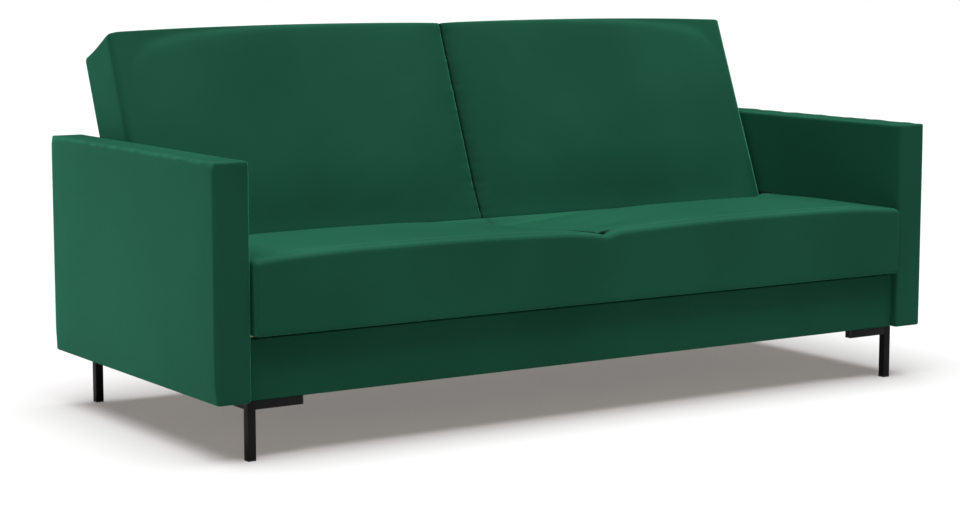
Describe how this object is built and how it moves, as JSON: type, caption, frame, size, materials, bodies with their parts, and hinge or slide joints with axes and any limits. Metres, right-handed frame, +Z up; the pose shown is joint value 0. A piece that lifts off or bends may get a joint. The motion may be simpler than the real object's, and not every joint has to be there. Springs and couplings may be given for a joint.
{
  "type": "futon sofa bed",
  "caption": "Click-clack sofa bed: one-piece padded seat and folding padded back between two fixed slab arms, over a bedding box on black square-tube corner legs.",
  "frame": {"origin": "on the floor under the middle of the overall box, in the sitting position", "axes": "+X along the sofa towards the sitter's left (the viewer's right), -Y towards the front, +Z up"},
  "size_m": [2.12, 0.922, 0.9367],
  "materials": {
    "velvet": "deep green short-pile velvet",
    "lining_cloth": "flat green lining cloth",
    "foam": "open-cell polyurethane foam",
    "felt": "needled grey felt",
    "frame_wood": "sawn pine",
    "slat_wood": "lacquered birch laminate",
    "hardboard": "brown hardboard",
    "box_board": "faced particle board",
    "box_bottom_board": "plywood",
    "black_steel": "matte black powder coat",
    "hinge_steel": "black lacquered plate",
    "spring_steel": "tempered strip",
    "zinc_steel": "zinc plated",
    "black_plastic": "moulded black",
    "bumper_rubber": "matte"
  },
  "bodies": {
    "base": {"arm_frame_left": "frame_wood", "arm_frame_right": "frame_wood", "arm_skins_left": "hardboard", "arm_skins_right": "hardboard", "arm_upholstery_left": "velvet", "arm_upholstery_right": "velvet", "arm_bolts": "zinc_steel", "box_front_board": "box_board", "box_front_upholstery": "velvet", "box_side_left": "box_board", "box_side_right": "box_board", "box_rear_board": "box_board", "box_bottom": "box_bottom_board", "box_divider": "box_board", "leg_front_left": "black_steel", "leg_front_right": "black_steel", "leg_rear_left": "black_steel", "leg_rear_right": "black_steel", "leg_end_plugs": "black_plastic", "foot_glides": "black_plastic", "leg_screws": "zinc_steel", "hinge_plate_left": "hinge_steel", "hinge_plate_right": "hinge_steel", "hinge_plate_bolts": "zinc_steel", "seat_pivot_rivets": "zinc_steel", "back_pivot_rivets": "zinc_steel", "click_springs": "spring_steel", "seat_bumpers": "bumper_rubber", "back_bumpers": "bumper_rubber"},
    "seat": {"seat_front_rail": "frame_wood", "seat_rear_rail": "frame_wood", "seat_end_rails": "frame_wood", "seat_cross_rails": "frame_wood", "seat_slats": "slat_wood", "seat_slat_holders": "black_plastic", "seat_felt": "felt", "seat_foam": "foam", "seat_cover": "velvet", "seat_lining": "lining_cloth", "seat_hinge_arm_left": "hinge_steel", "seat_hinge_arm_right": "hinge_steel", "seat_arm_screws": "zinc_steel"},
    "back": {"back_top_rail": "frame_wood", "back_lower_rail": "frame_wood", "back_end_rails": "frame_wood", "back_cross_rails": "frame_wood", "back_slats": "slat_wood", "back_slat_holders": "black_plastic", "back_felt": "felt", "back_foam": "foam", "back_cover": "velvet", "back_lining": "lining_cloth", "back_hinge_arm_left": "hinge_steel", "back_hinge_arm_right": "hinge_steel", "back_arm_screws": "zinc_steel"}
  },
  "joints": [
    {"name": "seat_lift", "type": "hinge", "parent": "base", "child": "seat", "pos_m": [0, 0.072, 0.437], "axis": [-1, 0, 0], "range_deg": [0, 45]},
    {"name": "back_fold", "type": "hinge", "parent": "base", "child": "back", "pos_m": [0, 0.125, 0.437], "axis": [-1, 0, 0], "range_deg": [0, 68], "deforming": ["click_springs"]}
  ]
}
